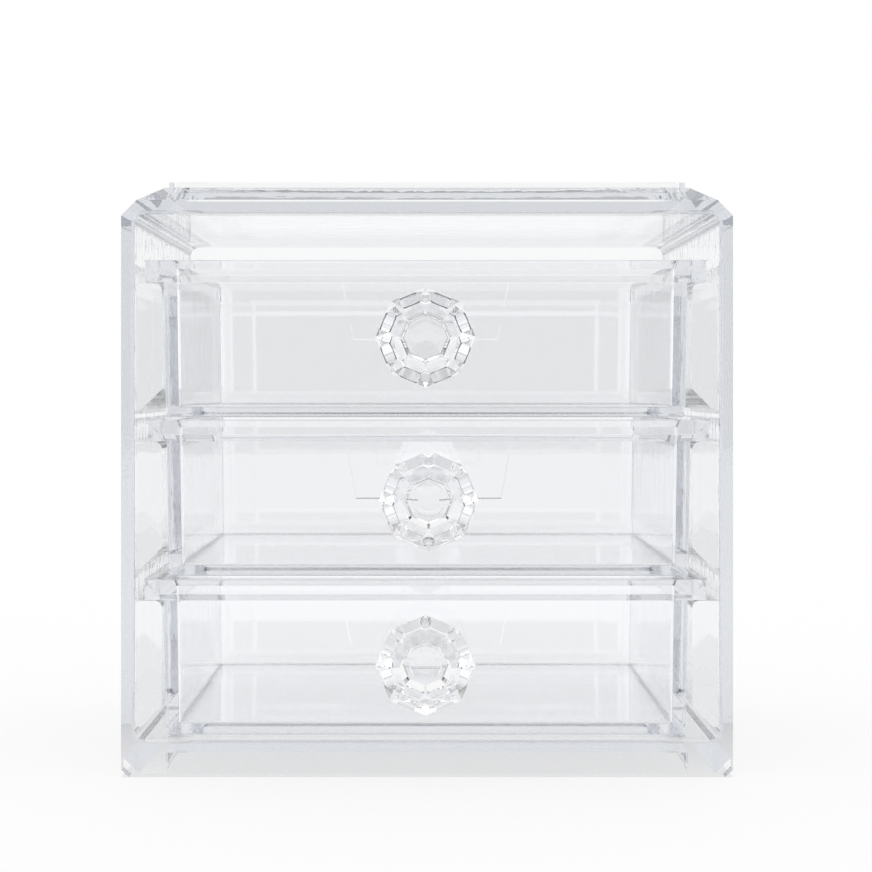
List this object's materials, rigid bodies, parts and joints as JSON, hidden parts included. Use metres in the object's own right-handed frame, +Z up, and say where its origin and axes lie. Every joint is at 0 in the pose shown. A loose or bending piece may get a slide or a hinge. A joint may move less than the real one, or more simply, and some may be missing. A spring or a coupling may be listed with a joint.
{
  "type": "drawer organizer",
  "caption": "Clear desktop box with shallow pull-out drawers one above another, a cut-stone knob on each, an open shelf gap on top and a raised rim for stacking.",
  "frame": {"origin": "middle of the bounding box in plan, on the surface that the box stands on", "axes": "+Z up, the drawers open towards -Y, +X to the right as seen from the front"},
  "size_m": [0.178, 0.1708, 0.1738],
  "materials": {
    "case_plastic": "clear, polished",
    "drawer_plastic": "clear, polished",
    "knob_plastic": "clear, polished facets"
  },
  "bodies": {
    "case": {"case_shell": "case_plastic", "runner_left_1": "case_plastic", "runner_left_2": "case_plastic", "runner_left_3": "case_plastic", "runner_right_1": "case_plastic", "runner_right_2": "case_plastic", "runner_right_3": "case_plastic"},
    "drawer_1": {"drawer_1_tray": "drawer_plastic", "drawer_1_knob": "knob_plastic"},
    "drawer_2": {"drawer_2_tray": "drawer_plastic", "drawer_2_knob": "knob_plastic"},
    "drawer_3": {"drawer_3_tray": "drawer_plastic", "drawer_3_knob": "knob_plastic"}
  },
  "joints": [
    {"name": "drawer_1_slide", "type": "slide", "parent": "case", "child": "drawer_1", "axis": [0, -1, 0], "range_m": [0, 0.115]},
    {"name": "drawer_2_slide", "type": "slide", "parent": "case", "child": "drawer_2", "axis": [0, -1, 0], "range_m": [0, 0.115]},
    {"name": "drawer_3_slide", "type": "slide", "parent": "case", "child": "drawer_3", "axis": [0, -1, 0], "range_m": [0, 0.115]}
  ]
}
